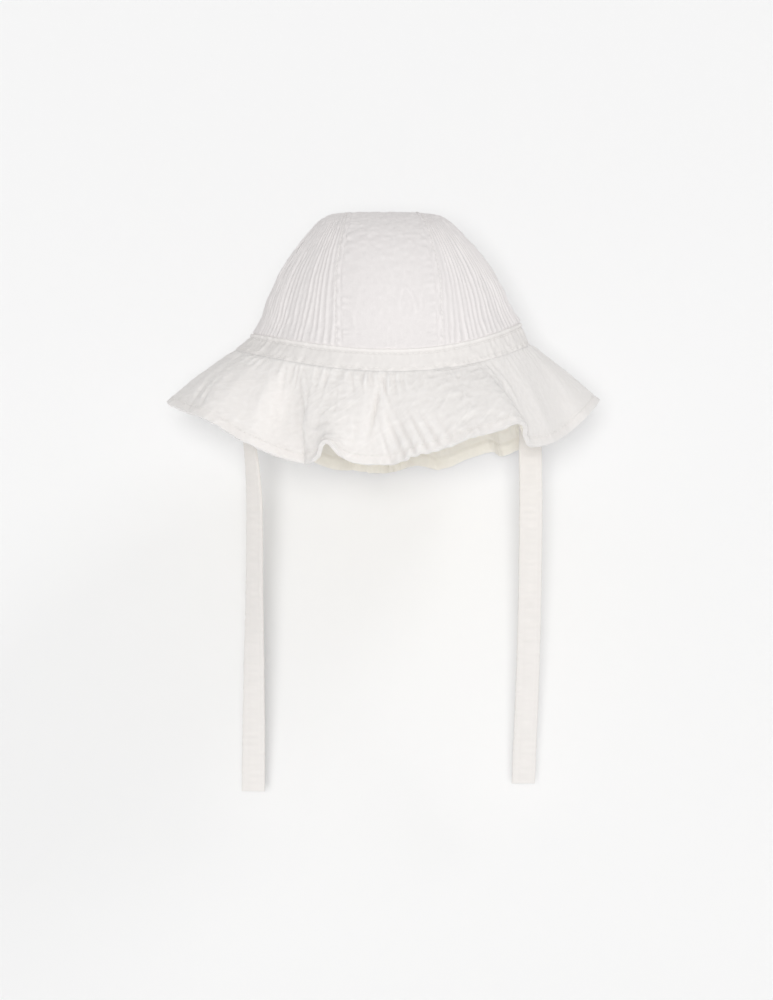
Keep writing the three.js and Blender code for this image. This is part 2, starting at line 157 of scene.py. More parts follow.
# Single creases of the brim: azimuth and half width in degrees, depth in millimetres (negative
# folds inwards), the share of the brim's length where it is deepest, its half length as a share,
# and how many degrees it slants towards +X on its way to the hem.
BRIM_CREASES = (
    # azimuth, half_width, depth, middle, half_length, slant
    (-80, 2.4, -0.6, 0.55, 0.3, 0), (-72, 2.4, 0.7, 0.5, 0.3, 2), (-68, 0.9, -0.8, 0.7, 0.14, 9),
    (-64, 1.6, 0.8, 0.5, 0.3, 4), (-61, 0.9, -0.7, 0.78, 0.12, 9), (-58, 8, 3.6, 0.6, 0.5, 2),
    (-58, 2.4, -0.9, 0.4, 0.3, 3), (-44, 2.4, 1, 0.55, 0.4, 3), (-41, 0.9, -0.7, 0.2, 0.15, 8),
    (-37, 4.6, -5.4, 0.6, 0.4, 2), (-31, 0.9, 1.2, 0.4, 0.28, 12), (-28.5, 3.4, 3.8, 0.6, 0.4, 2),
    (-19, 3.4, -1.2, 0.5, 0.38, 1), (-13.5, 0.9, -0.9, 0.2, 0.13, 5), (-13, 5, 1.4, 0.5, 0.4, 0),
    (-9, 1.8, 0.9, 0.45, 0.4, 0), (-5.6, 0.9, -2.2, 0.45, 0.24, -5), (-2.6, 1.5, 1, 0.55, 0.3, 1),
    (-2, 0.7, -1.4, 0.2, 0.18, 9), (-1.6, 0.8, -1.2, 0.82, 0.2, 9), (1.5, 0.8, -1.5, 0.78, 0.22, 10),
    (4.8, 0.8, -1.6, 0.82, 0.22, 10), (8.2, 0.8, -1.6, 0.8, 0.24, 10), (11.5, 0.9, -1.5, 0.8, 0.22, 10),
    (15, 1, -0.9, 0.82, 0.18, 8), (20, 1.4, -0.5, 0.75, 0.2, 6), (24, 2.6, -0.8, 0.35, 0.2, -6),
    (38, 1.6, -1.2, 0.5, 0.3, 3), (41.5, 0.9, -0.9, 0.45, 0.14, -7), (45, 1.2, 0.8, 0.4, 0.25, 4),
    (56, 3.4, 1, 0.55, 0.4, 2), (73, 2.6, -0.6, 0.4, 0.3, 0),
)

# How the brim's cloth is puckered round the head: azimuth in degrees, and shares for the gathers
# under the seam, the long ridges towards the hem and the crumple between them.
BRIM_RUFFLE = {
    "azimuth": (-105, -85, -65, -48, -32, -20, -10, 0, 12, 22, 34, 46, 62, 78, 92, 110, 180),
    "gathers": (0.8, 0.6, 0.5, 0.7, 0.8, 0.9, 1, 1, 0.7, 0.4, 0.3, 0.3, 0.2, 0.3, 0.6, 0.8, 0.8),
    "ridges": (0.9, 0.4, 0.5, 0.4, 0.5, 0.4, 0.6, 0.7, 0.8, 0.5, 0.25, 0.1, 0.06, 0.2, 0.6, 1, 1.4),
    "crumple": (0.6, 0.6, 1.2, 0.8, 0.9, 1.9, 0.9, 0.8, 1, 1.5, 1.4, 0.6, 0.25, 0.25, 0.5, 0.6, 0.6),
}

# Heights of the fine relief on each piece of cloth, where a negative one is a groove
SIDE_HEIGHTS = {
    "veins": 0.22 * MM, "puckers": 0.1 * MM, "crumple": 0.1 * MM, "top_crumple": 0.22 * MM,
    "grain": 0.04 * MM, "drawn": 0.5 * MM, "allowance": 0.3 * MM, "stitched": -0.4 * MM,
}
CENTRE_HEIGHTS = {
    "upright": 0.55 * MM, "level": 0.07 * MM, "top_level": 0.16 * MM, "crossed": 0.05 * MM,
    "top_crossed": 0.14 * MM, "puckers": 0.1 * MM, "grain": 0.04 * MM, "drag": 0.32 * MM,
    "allowance": 0.16 * MM,
}
BAND_HEIGHTS = {
    "upright": 0.5 * MM, "level": 0.2 * MM, "crinkle": 0.3 * MM, "gathers": 0.26 * MM,
    "puckers": 0.34 * MM, "rolled": 0.95 * MM, "upper_line": -0.3 * MM, "lower_line": -0.15 * MM,
}
BRIM_HEIGHTS = {
    "ridges": 0.85 * MM, "level": 0.2 * MM, "creased": 0.16 * MM, "crinkle": 0.2 * MM,
    "slanted": 0.14 * MM, "grain": 0.05 * MM, "drawn": 0.4 * MM, "puckers": 0.36 * MM,
    "turned": 0.12 * MM, "stitched": -0.1 * MM, "ripple": 0.24 * MM,
}
TIE_HEIGHTS = {"level": 0.14 * MM, "rumple": 0.12 * MM, "line": -0.16 * MM}

# The backdrop: a floor that bends up into a back, which leans away from the camera
FLOOR_HEIGHT = -0.62
FLOOR_FRONT = -4
BACKDROP_FOOT = -0.124
BACKDROP_LEAN = math.radians(22)
BACKDROP_BEND = 0.1
BACKDROP_HEIGHT = 3
BACKDROP_WIDTH = 6

LIGHTS = (
    # name, azimuth and height in degrees, strength, spread in degrees
    ("key_light", -3, 2, 1.53, 13),
    ("side_light", 74, 48, 0.36, 20),
)
WORLD_STRENGTH = 0.46


class HatSizes(bpy.types.PropertyGroup):
    """Sizes of the hat that a user would change together with its solids."""

    crown_width: bpy.props.FloatProperty(
        name="Crown Width", description="Outside width at the crown's lower seam",
        default=143 * MM, unit="LENGTH")
    crown_depth: bpy.props.FloatProperty(
        name="Crown Depth", description="Outside depth at the crown's lower seam",
        default=151 * MM, unit="LENGTH")
    centre_panel_width: bpy.props.FloatProperty(
        name="Centre Panel Width", description="Width of the strip over the top, at the band",
        default=50.5 * MM, unit="LENGTH")
    cloth: bpy.props.FloatProperty(
        name="Cloth", description="Thickness of the crinkled double gauze",
        default=1.5 * MM, unit="LENGTH")
    rib_pitch: bpy.props.FloatProperty(
        name="Rib Pitch", description="Distance between the crinkle ribs of the side panels",
        default=4.1 * MM, unit="LENGTH")
    rib_height: bpy.props.FloatProperty(
        name="Rib Height", description="Height of the crinkle ribs",
        default=1.15 * MM, unit="LENGTH")
    band_width: bpy.props.FloatProperty(
        name="Band Width", description="Width of the band from seam to seam",
        default=13 * MM, unit="LENGTH")
    brim_length: bpy.props.FloatProperty(
        name="Brim Length", description="From the band's lower seam to the hem",
        default=54 * MM, unit="LENGTH")
    hem_width: bpy.props.FloatProperty(
        name="Hem Width", description="Width of the turned hem",
        default=6 * MM, unit="LENGTH")
    gather_height: bpy.props.FloatProperty(
        name="Gather Height", description="Height of the small gathers under the seam",
        default=1.9 * MM, unit="LENGTH")
    gather_count: bpy.props.IntProperty(
        name="Gathers", description="Small gathers round the brim's seam", default=88)
    tie_length: bpy.props.FloatProperty(
        name="Tie Length", description="Whole length of each tie with its sewn end",
        default=244 * MM, unit="LENGTH")
    tie_width: bpy.props.FloatProperty(
        name="Tie Width", description="Width of each tie",
        default=12.5 * MM, unit="LENGTH")
    tie_thickness: bpy.props.FloatProperty(
        name="Tie Thickness", description="Thickness of the folded tie",
        default=1.8 * MM, unit="LENGTH")
    stitch_length: bpy.props.FloatProperty(
        name="Stitch Length", description="Length of one stitch",
        default=2.2 * MM, unit="LENGTH")
    thread_width: bpy.props.FloatProperty(
        name="Thread Width", description="Thickness of the sewing thread",
        default=0.4 * MM, unit="LENGTH")


class HatColours(bpy.types.PropertyGroup):
    """Colours of the hat's cloth and thread."""

    crown: bpy.props.FloatVectorProperty(
        name="Crown", description="Cloth of the crown's panels", subtype="COLOR",
        default=(0.922, 0.887, 0.879))
    brim: bpy.props.FloatVectorProperty(
        name="Brim", description="Cloth of the band and the brim", subtype="COLOR",
        default=(0.937, 0.906, 0.883))
    # Painted light: the inner face is lighter and creamier than the outer cloth, standing in for light
    # through the gauze and warm light bounced under the brim
    inner_face_painted_light: bpy.props.FloatVectorProperty(
        name="Underside", description="Inner face of the cloth", subtype="COLOR",
        default=(0.985, 0.945, 0.87))
    tie: bpy.props.FloatVectorProperty(
        name="Ties", description="Cloth of the ties", subtype="COLOR",
        default=(0.905, 0.875, 0.849))
    # Painted light: the thread is lighter than the cloth, so that the small stitches' own shade hardly
    # shows
    thread: bpy.props.FloatVectorProperty(
        name="Thread", description="Sewing thread", subtype="COLOR",
        default=(0.975, 0.955, 0.93))


def sizes():
    return bpy.context.scene.hat_sizes


def colours():
    return bpy.context.scene.hat_colours


# Curves and noise

def mix(a, b, t):
    return a + (b - a) * t


def smooth(low, high, x):
    t = np.clip((x - low) / (high - low), 0, 1)
    return t * t * (3 - 2 * t)


def curve_through(places, values):
    """A smooth curve through the values of one column, at rising places."""
    places = np.array(places, float)
    values = np.array(values, float)
    before = np.r_[0, np.arange(len(places) - 1)]
    after = np.r_[np.arange(1, len(places)), len(places) - 1]
    slopes = (values[after] - values[before]) / (places[after] - places[before])

    def at(x):
        x = np.asarray(x, float)
        i = np.clip(np.searchsorted(places, x, side="right") - 1, 0, len(places) - 2)
        span = places[i + 1] - places[i]
        t = (x - places[i]) / span
        hold = (1 + 2 * t) * (1 - t) ** 2
        bend = t * (1 - t) * span * ((1 - t) * slopes[i] - t * slopes[i + 1])
        return hold * values[i] + (1 - hold) * values[i + 1] + bend

    return at


def noise(x, y, seed, repeat_x=0):
    """Smooth noise from -1 to 1 with features one unit wide. It repeats after repeat_x units."""
    size = 512
    lattice = np.random.RandomState(seed).uniform(-1, 1, (size, size))
    x = np.asarray(x, float) + (0 if repeat_x else size / 2)
    y = np.asarray(y, float) + size / 2
    i, j = np.floor(x).astype(int), np.floor(y).astype(int)
    s, t = x - i, y - j
    s, t = s * s * (3 - 2 * s), t * t * (3 - 2 * t)
    wrap = repeat_x or size
    a, b = lattice[i % wrap, j % size], lattice[(i + 1) % wrap, j % size]
    c, d = lattice[i % wrap, (j + 1) % size], lattice[(i + 1) % wrap, (j + 1) % size]
    return mix(mix(a, b, s), mix(c, d, s), t)


def lumps(x, y, wide, long, seed):
    """Smooth noise over the cloth, whose lumps have a width and a length in millimetres."""
    return noise(x / (wide * MM), y / (long * MM), seed)


def round_noise(u, y, seed, count, shift=0):
    """Smooth noise that closes on itself round the hat, where it has a count of features."""
    return noise(u * count + shift, y, seed, count)


def ridges(phase, sharpness):
    """Ridges with a crest at each half phase, from 0 to 1."""
    return (1 - np.abs(2 * (phase % 1) - 1)) ** sharpness


def bell(distance, half_width):
    """A rounded line: 1 on it, and falling to 0 beside it."""
    return np.exp(-(distance / half_width) ** 2)


def raised(heights, **patterns):
    """The sum of some patterns, each at its own height."""
    return sum(heights[name] * pattern for name, pattern in patterns.items())


# Surfaces: each gives points for places u and v from 0 to 1, with its outer face to the left of
# u as v rises

def crown_curves():
    count = len(CROWN_SECTIONS["height"])
    size = sizes()
    top_width = CROWN_TOP_PANEL * size.centre_panel_width / size.crown_width
    top = {"height": 1, "width": top_width, "depth": 0, "panel": CROWN_TOP_PANEL}
    curves = {}
    for key, rows in CROWN_SECTIONS.items():
        back = tuple(-x for x in rows) if key == "depth" else rows
        curves[key] = curve_through(range(2 * count + 1), rows + (top[key],) + back[::-1])
    return curves, count


def crown_seam_height(azimuth):
    dip = np.where(np.cos(azimuth) > 0, FRONT_DIP, BACK_DIP)
    return CROWN_BASE - dip * np.cos(azimuth) ** 2 + SEAM_LEAN * np.sin(azimuth) ** 3


def crown_point(curves, place, azimuth, sideways, backwards):
    size = sizes()
    rise = curves["height"](place)
    forward = curves["depth"](place) * size.crown_depth / 2
    forward = forward * np.sqrt(np.clip(1 - sideways ** 2, 0, 1)) * backwards
    seam = crown_seam_height(azimuth)
    across = sideways * curves["width"](place) * size.crown_width / 2 - rise * TOP_OFFSET
    return np.stack([across, -forward, mix(seam, CROWN_TOP, rise)], -1)


def centre_panel(across, along):
    curves, top = crown_curves()
    size = sizes()
    place = 2 * top * along
    half = curves["panel"](place) * size.centre_panel_width / 2
    sideways = (2 * across - 1) * half / (curves["width"](place) * size.crown_width / 2)
    lean = np.arcsin(np.clip(sideways, -1, 1))
    azimuth = np.where(place <= top, lean, np.pi - lean)
    return crown_point(curves, place, azimuth, np.sin(lean), 1)


def side_panel(side):
    def surface(around, up):
        curves, top = crown_curves()
        size = sizes()
        place = top * up
        half = curves["panel"](place) * size.centre_panel_width / 2
        first = np.arcsin(np.clip(half / (curves["width"](place) * size.crown_width / 2), -1, 1))
        turned = mix(first, np.pi - first, around if side > 0 else 1 - around)
        azimuth = side * turned
        backwards = np.where(np.cos(azimuth) < 0, -1, 1)
        return crown_point(curves, place, azimuth, np.sin(azimuth), backwards)
    return surface


def band_point(azimuth, down):
    size = sizes()
    side_flare = np.where(np.sin(azimuth) < 0, BAND_FLARE_LEFT, BAND_FLARE_RIGHT)
    flare = mix(BAND_FLARE_FRONT, side_flare, np.sin(azimuth) ** 2)
    outwards = down * np.sin(flare)
    return np.stack([
        (size.crown_width / 2 + outwards) * np.sin(azimuth),
        -(size.crown_depth / 2 + outwards) * np.cos(azimuth),
        crown_seam_height(azimuth) - down * np.cos(flare),
    ], -1)


def band_surface(around, up):
    return band_point(2 * np.pi * around, (1 - up) * sizes().band_width)


def hem_curves():
    azimuths, reaches, drops, folds = (np.array(c, float) for c in zip(*HEM_FOLDS))
    places = np.r_[azimuths - 360, azimuths, azimuths + 360]
    return [curve_through(places, np.tile(c, 3)) for c in (reaches, drops, folds)]


def brim_surface(around, up):
    size = sizes()
    azimuth = 2 * np.pi * around
    out = 1 - up
    reach, drop, fold = (curve(np.degrees(azimuth)) for curve in hem_curves())
    across = np.hypot(reach, drop)
    bow = mix(BRIM_BULGE, BRIM_BULGE_SIDE, np.sin(azimuth) ** 2)
    lift = (4 * out * up * bow + out * FOLD_DEPTH * fold) / across
    sideways = out * size.brim_length * reach + lift * drop
    height = -out * size.brim_length * drop + lift * reach
    degrees = np.degrees(azimuth) % 360
    for flute_azimuth, width, up_share, out_share in HEM_FLUTES:
        turned = np.exp(-((degrees - flute_azimuth) / width) ** 2) * np.clip(2 * out - 1, 0, 1) ** 2
        sideways = sideways + turned * out_share * size.brim_length
        height = height + turned * up_share * size.brim_length
    seam = band_point(azimuth, size.band_width)
    outward = np.stack([np.sin(azimuth), -np.cos(azimuth), np.zeros_like(azimuth)], -1)
    upward = np.array([0, 0, 1])
    return seam + outward * sideways[..., None] + upward * height[..., None]


def normals_of(surface, u, v, closed=False):
    step = 1e-3
    low, high = (-1, 2) if closed else (0, 1)
    across = surface(np.minimum(u + step, high), v) - surface(np.maximum(u - step, low), v)
    along = surface(u, np.minimum(v + step, 1)) - surface(u, np.maximum(v - step, 0))
    normal = np.cross(across, along)
    length = np.linalg.norm(normal, axis=-1, keepdims=True)
    flat = length < 1e-14
    return np.where(flat, np.array([0, 0, 1.0]), normal / np.where(flat, 1, length))


# Relief of the cloth: the height over each surface, in metres

def edge_distances(surface):
    """A function that gives the distances along the cloth to the edges u = 0 and u = 1."""
    columns, rows = 96, 72
    u, v = np.meshgrid(np.linspace(0, 1, columns + 1), np.linspace(0, 1, rows + 1))
    steps = np.linalg.norm(np.diff(surface(u, v), axis=1), axis=-1)
    table = np.concatenate([np.zeros((rows + 1, 1)), np.cumsum(steps, axis=1)], axis=1)

    def at(u, v):
        x, y = np.clip(u, 0, 1) * columns, np.clip(v, 0, 1) * rows
        i, j = np.minimum(x.astype(int), columns - 1), np.minimum(y.astype(int), rows - 1)
        s, t = x - i, y - j
        near = mix(mix(table[j, i], table[j, i + 1], s), mix(table[j + 1, i], table[j + 1, i + 1], s), t)
        return near, mix(table[j, -1], table[j + 1, -1], t) - near

    return at


def side_relief(surface, seed):
    size = sizes()
    girth = math.pi * (size.crown_width + size.crown_depth) / 4 - size.centre_panel_width
    count = round(girth / size.rib_pitch)
    distances = edge_distances(surface)

    def relief(u, v):
        left, right = distances(u, v)
        local = (left + right) / girth
        edge = np.minimum(left, right)
        foot = v * (CROWN_TOP - CROWN_BASE) * SIDE_PANEL_BOW
        turns = u * count
        wander = 0.42 * noise(turns * 0.42, v * 2.6, seed) + 0.16 * noise(turns, v * 8, seed + 1)
        strength = np.clip(0.8 + 0.6 * noise(turns * 0.9, v * 4.5, seed + 2), 0.35, 1.25)
        ribs = ridges(turns + wander, 2.1) * strength
        between = 1 - np.abs(noise(turns * 1.7, v * 5, seed + 3)) * 2.2
        crumple = noise(left / (3.2 * MM), v * 24, seed + 5)
        allowance = 1 - smooth(3.3 * MM, 4.3 * MM, edge)
        drawn = noise(edge / (2 * MM), v * 40, seed + 7)
        sharpness = np.clip(local, 0, 1) ** 0.7 * (1 - 0.75 * smooth(0.5, 0.95, v))
        fade = smooth(1.2 * MM, 4.4 * MM, edge) * (1 - 0.35 * allowance) * sharpness
        height = size.rib_height * ribs * fade + raised(
            SIDE_HEIGHTS,
            veins=np.clip(between, 0, 1) ** 2 * fade,
            puckers=noise(turns * 1.9, v * 22, seed + 4),
            crumple=crumple,
            top_crumple=crumple * smooth(0.45, 0.9, v),
            grain=noise(left / (1.1 * MM), v * 70, seed + 6),
            drawn=drawn * bell(edge - 1.8 * MM, 1.7 * MM),
            allowance=allowance,
            stitched=bell(edge - SEAM_STITCHING, STITCH_GROOVE),
        )
        seam = smooth(0, SEAM_FADE, edge) * smooth(0, END_FADE, foot)
        return height * seam * (1 - smooth(0.975, 1, v))

    return relief


def centre_relief(u, v):
    width = sizes().centre_panel_width
    x, y = (u - 0.5) * width, v * CENTRE_PANEL_RUN
    edge = np.minimum(u, 1 - u) * width
    foot = np.minimum(v, 1 - v) * CENTRE_PANEL_RUN
    low = 1 - smooth(20 * MM, 48 * MM, foot)
    top = smooth(40 * MM, 66 * MM, foot)
    lines = noise(x / (5.2 * MM) + 0.5 * lumps(x, y, 9, 14, 30), y / (15 * MM), 31)
    upright = np.clip(1 - 3 * np.abs(lines), 0, 1) ** 1.5 * (0.15 + 0.85 * low)
    level = lumps(x, y, 5, 2.8, 32)
    crossed = lumps(x, y, 2.8, 2.8, 37)
    height = raised(
        CENTRE_HEIGHTS,
        upright=upright * smooth(-0.2, 0.5, lumps(x, y, 12, 16, 36)),
        level=level,
        top_level=level * top,
        crossed=crossed,
        top_crossed=crossed * top,
        puckers=lumps(x, y, 2.3, 4.2, 33),
        grain=lumps(x, y, 1.1, 1.3, 34),
        drag=lumps(x, y, 6, 2.1, 35) * (1 - smooth(1.5 * MM, 9 * MM, edge)),
        allowance=1,
    )
    return height * smooth(0, SEAM_FADE, edge) * smooth(0, END_FADE, foot)


def band_relief(u, v):
    width = sizes().band_width
    foot = v * width
    top = width - foot
    sides = 0.3 + 0.7 * np.abs(np.sin(2 * np.pi * u))
    seams = 1 - smooth(1 * MM, 5 * MM, np.minimum(top, foot))
    puckers = round_noise(u, foot / (3 * MM), 44, 190) + 0.6 * round_noise(u, foot / (2 * MM), 45, 320)
    height = raised(
        BAND_HEIGHTS,
        upright=round_noise(u, foot / (9 * MM), 41, 150) * sides,
        level=round_noise(u, foot / (2.4 * MM), 43, 48) * sides,
        crinkle=round_noise(u, foot / (4 * MM), 46, 230) * sides,
        gathers=round_noise(u, foot / (5 * MM), 42, 260) * seams,
        puckers=puckers * np.exp(-foot / (2.5 * MM)),
        rolled=smooth(0, 0.5 * MM, top) * (1 - smooth(1.5 * MM, 2.6 * MM, top)),
        upper_line=bell(top - BAND_TOP_STITCHING, BAND_GROOVE),
        lower_line=bell(foot - BAND_FOOT_STITCHING, BAND_GROOVE),
    )
    return height * smooth(0, 0.6 * MM, top) * smooth(0, END_FADE, foot)


def ruffle_shares(azimuth):
    """How strongly the brim is gathered, ridged and crumpled at an azimuth in degrees."""
    places = np.array(BRIM_RUFFLE["azimuth"], float)
    places = np.r_[places[-1] - 360, places]
    return [curve_through(places, np.r_[BRIM_RUFFLE[key][-1], BRIM_RUFFLE[key]])(azimuth)
            for key in ("gathers", "ridges", "crumple")]


def brim_relief(u, v):
    size = sizes()
    azimuth = (np.degrees(2 * np.pi * u) + 180) % 360 - 180
    gathered, ridged, crumpled = ruffle_shares(azimuth)
    out = 1 - v
    from_band, from_hem = out * size.brim_length, v * size.brim_length
    wander = 0.55 * round_noise(u, out * 2.2, 51, 64) + 0.2 * round_noise(u, out * 5, 52, 176)
    strength = 0.55 + 0.45 * round_noise(u, out * 1.5, 53, 44)
    gathers = (2 * ridges(u * size.gather_count + wander, 1.5) - 0.8) * strength
    reach = 0.34 + 0.2 * round_noise(u, out, 60, 60)
    opening = smooth(0, 0.06, out) * (1 - smooth(0.1, reach, out))
    radial = ridges(u * BRIM_RIDGE_COUNT + 0.8 * round_noise(u, out * 2.6, 54, 72), 1.5)
    patches = smooth(-0.25, 0.5, round_noise(u, out * 2, 55, 26))
    creased = np.clip(1 - 3.2 * np.abs(round_noise(u, out * 9 + u * 84, 61, 70)), 0, 1)
    drawn = round_noise(u, from_band / (1.6 * MM), 65, 36) * np.exp(-from_band / (7 * MM))
    puckers = round_noise(u, out * 4, 62, 190) + 0.6 * round_noise(u, out * 9, 63, 320)
    over_hem = from_hem - size.hem_width
    turned = 1 - smooth(-0.5 * MM, 0.3 * MM, over_hem)
    height = size.gather_height / 2 * gathers * opening * gathered + raised(
        BRIM_HEIGHTS,
        ridges=radial * patches * smooth(0.2, 0.6, out) * ridged,
        level=round_noise(u, out * 19, 56, 84, out * 3) * crumpled,
        creased=creased * smooth(0.05, 0.2, out) * crumpled,
        crinkle=round_noise(u, out * 17, 57, 250) * (0.1 + 0.7 * crumpled),
        slanted=round_noise(u, out * 24, 64, 180, out * 9) * crumpled,
        grain=round_noise(u, out * 38, 58, 500),
        drawn=drawn * crumpled,
        puckers=puckers * np.exp(-from_band / (3 * MM)),
        turned=turned,
        stitched=bell(over_hem + HEM_STITCHING, STITCH_GROOVE),
        ripple=round_noise(u, from_hem / (6 * MM), 59, 190) * turned,
    )
    for middle_azimuth, half_width, depth, middle, half_length, slant in BRIM_CREASES:
        off = (azimuth - middle_azimuth - slant * (out - middle) + 180) % 360 - 180
        crease = bell(off, half_width) * bell(out - middle, half_length)
        height += depth * MM * crease * smooth(0, 0.1, out)
    return height * smooth(0, END_FADE, from_band)


# Cloth pieces

def flat_grid(name, columns, rows):
    """A grid, and the place u, v from 0 to 1 of each of its points."""
    grid = bmesh.new()
    bmesh.ops.create_grid(grid, x_segments=columns, y_segments=rows, size=0.5)
    mesh = bpy.data.meshes.new(name)
    grid.to_mesh(mesh)
    grid.free()
    places = np.empty(len(mesh.vertices) * 3)
    mesh.vertices.foreach_get("co", places)
    u, v = np.clip(places.reshape(-1, 3)[:, :2].T + 0.5, 0, 1)
    return mesh, u, v


def cloth_runs(surface):
    """The lengths of the cloth along u and along v, a third of the way in."""
    line, level = np.linspace(0, 1, 200), np.full(200, 0.35)
    rows = surface(line, level), surface(level, line)
    return [np.linalg.norm(np.diff(row, axis=0), axis=1).sum() for row in rows]


def cloth_piece(name, surface, relief, columns, rows, closed=False):
    """A sheet over a surface, raised by its relief, with a UV map in metres along the cloth."""
    mesh, u, v = flat_grid(name, columns, rows)
    place = np.where(u > 1 - 1e-6, 0, u) if closed else u
    height = relief(place, v)
    points = surface(place, v) + normals_of(surface, place, v, closed) * height[:, None]
    mesh.vertices.foreach_set("co", points.ravel())
    wide, long = cloth_runs(surface)
    after, before = place + CREST_REACH / wide, place - CREST_REACH / wide
    after, before = (after % 1, before % 1) if closed else (np.minimum(after, 1), np.maximum(before, 0))
    above, below = np.minimum(v + CREST_REACH / long, 1), np.maximum(v - CREST_REACH / long, 0)
    around = relief(after, v) + relief(before, v) + relief(place, above) + relief(place, below)
    crest = mesh.attributes.new("crest", "FLOAT", "POINT")
    crest.data.foreach_set("value", np.clip((height - around / 4) / CREST_HEIGHT, -1, 1))
    while mesh.uv_layers:
        mesh.uv_layers.remove(mesh.uv_layers[0])
    layer = mesh.uv_layers.new(name="cloth")
    corners = np.empty(len(mesh.loops), int)
    mesh.loops.foreach_get("vertex_index", corners)
    layer.data.foreach_set("uv", np.stack([u[corners] * wide, v[corners] * long], -1).ravel())
    sewn = bmesh.new()
    sewn.from_mesh(mesh)
    bmesh.ops.remove_doubles(sewn, verts=sewn.verts, dist=1e-7)
    for face in sewn.faces:
        face.smooth = True
    sewn.to_mesh(mesh)
    sewn.free()
    piece = bpy.data.objects.new(name, mesh)
    bpy.context.scene.collection.objects.link(piece)
    return piece


def thicken(piece, thickness, outside, inside):
    """Gives a sheet its thickness inwards, with sharp edges and another finish on its inner face, where
    the lighter inner colour is painted light.
    """
    sewn = bmesh.new()
    sewn.from_mesh(piece.data)
    for edge in sewn.edges:
        edge.smooth = not edge.is_boundary
    sewn.to_mesh(piece.data)
    sewn.free()
    piece.data.materials.append(outside)
    piece.data.materials.append(inside)
    wall = piece.modifiers.new("wall", "SOLIDIFY")
    wall.thickness = thickness
    wall.offset = -1
    wall.use_even_offset = False
    wall.use_rim = True
    wall.material_offset = 1
    wall.material_offset_rim = 0
    return wall


def dress(piece, slot, *nodes):
    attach(piece, BODY)
    if nodes:
        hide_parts(*nodes)


# Materials

def math_node(tree, operation, *values, clamp=False):
    """The value of a Math node, whose inputs are other nodes' outputs or plain numbers."""
    node = tree.nodes.new("ShaderNodeMath")
    node.operation = operation
    node.use_clamp = clamp
    for socket, value in zip(node.inputs, values):
        if isinstance(value, bpy.types.NodeSocket):
            tree.links.new(value, socket)
        else:
            socket.default_value = value
    return node.outputs["Value"]


def noise_texture(tree, place, scale, detail):
    node = tree.nodes.new("ShaderNodeTexNoise")
    node.inputs["Scale"].default_value = scale
    node.inputs["Detail"].default_value = detail
    tree.links.new(place, node.inputs["Vector"])
    return node.outputs


def shader_group(name, inputs, outputs):
    """A new node group with named sockets, and the ends of its input and output nodes."""
    group = bpy.data.node_groups.new(name, "ShaderNodeTree")
    for way, sockets in (("INPUT", inputs), ("OUTPUT", outputs)):
        for label, kind in sockets.items():
            group.interface.new_socket(label, in_out=way, socket_type=f"NodeSocket{kind}")
    given = group.nodes.new("NodeGroupInput").outputs
    put_out = group.nodes.new("NodeGroupOutput").inputs
    return group, given, put_out


def weave_group():
    """Threads of the open gauze weave and the slubs in them."""
    if "gauze_weave" in bpy.data.node_groups:
        return bpy.data.node_groups["gauze_weave"]
    group, given, put_out = shader_group(
        "gauze_weave", {"Vector": "Vector", "Threads per Metre": "Float"},
        {"Height": "Float", "Slub": "Float"})
    stray, thread_height = 0.6 * MM, 0.25
    stray_scale, slub_scale = 260, 420
    strayed = group.nodes.new("ShaderNodeVectorMath")
    strayed.operation = "MULTIPLY_ADD"
    strayed.inputs[1].default_value = (stray, stray, 0)
    group.links.new(noise_texture(group, given["Vector"], stray_scale, 2)["Color"], strayed.inputs[0])
    group.links.new(given["Vector"], strayed.inputs[2])
    parts = group.nodes.new("ShaderNodeSeparateXYZ")
    group.links.new(strayed.outputs["Vector"], parts.inputs["Vector"])
    turns = math_node(group, "MULTIPLY", given["Threads per Metre"], 2 * math.pi)
    warp, weft = (math_node(group, "SINE", math_node(group, "MULTIPLY", parts.outputs[axis], turns))
                  for axis in ("X", "Y"))
    threads = math_node(group, "ADD", warp, weft)
    slub = noise_texture(group, given["Vector"], slub_scale, 3)["Fac"]
    height = math_node(group, "MULTIPLY_ADD", threads, thread_height, slub)
    group.links.new(height, put_out["Height"])
    group.links.new(slub, put_out["Slub"])
    return group


def tone_group():
    """Soft changes of tone over a washed cotton cloth, with painted shade that makes it darker in its
    creases and lighter on its crests.
    """
    if "tone_and_crease_shade" in bpy.data.node_groups:
        return bpy.data.node_groups["tone_and_crease_shade"]
    group, given, put_out = shader_group(
        "tone_and_crease_shade",
        {"Vector": "Vector", "Slub": "Float", "Crest": "Float", "Cloth": "Color", "Crease Shade": "Color"},
        {"Color": "Color", "Roughness": "Float"})
    # Painted shade: the crest value pulls the creases towards the shaded colour, while slubs and clouds
    # add random tone
    level, crease_shade_share, slub_share, cloud_share = 0.25, -0.4, 0.15, 0.15
    cloud_scale = 38
    cloud = noise_texture(group, given["Vector"], cloud_scale, 4)["Fac"]
    crease_shaded = math_node(group, "MULTIPLY_ADD", given["Crest"], crease_shade_share, level)
    grained = math_node(group, "MULTIPLY_ADD", given["Slub"], slub_share, crease_shaded)
    share = math_node(group, "MULTIPLY_ADD", cloud, cloud_share, grained, clamp=True)
    blend = group.nodes.new("ShaderNodeMix")
    blend.data_type = "RGBA"
    group.links.new(share, blend.inputs["Factor"])
    group.links.new(given["Cloth"], blend.inputs["A"])
    group.links.new(given["Crease Shade"], blend.inputs["B"])
    rough = group.nodes.new("ShaderNodeMapRange")
    rough.inputs["To Min"].default_value = 0.86
    rough.inputs["To Max"].default_value = 0.98
    group.links.new(given["Slub"], rough.inputs["Value"])
    group.links.new(blend.outputs["Result"], put_out["Color"])
    group.links.new(rough.outputs["Result"], put_out["Roughness"])
    return group


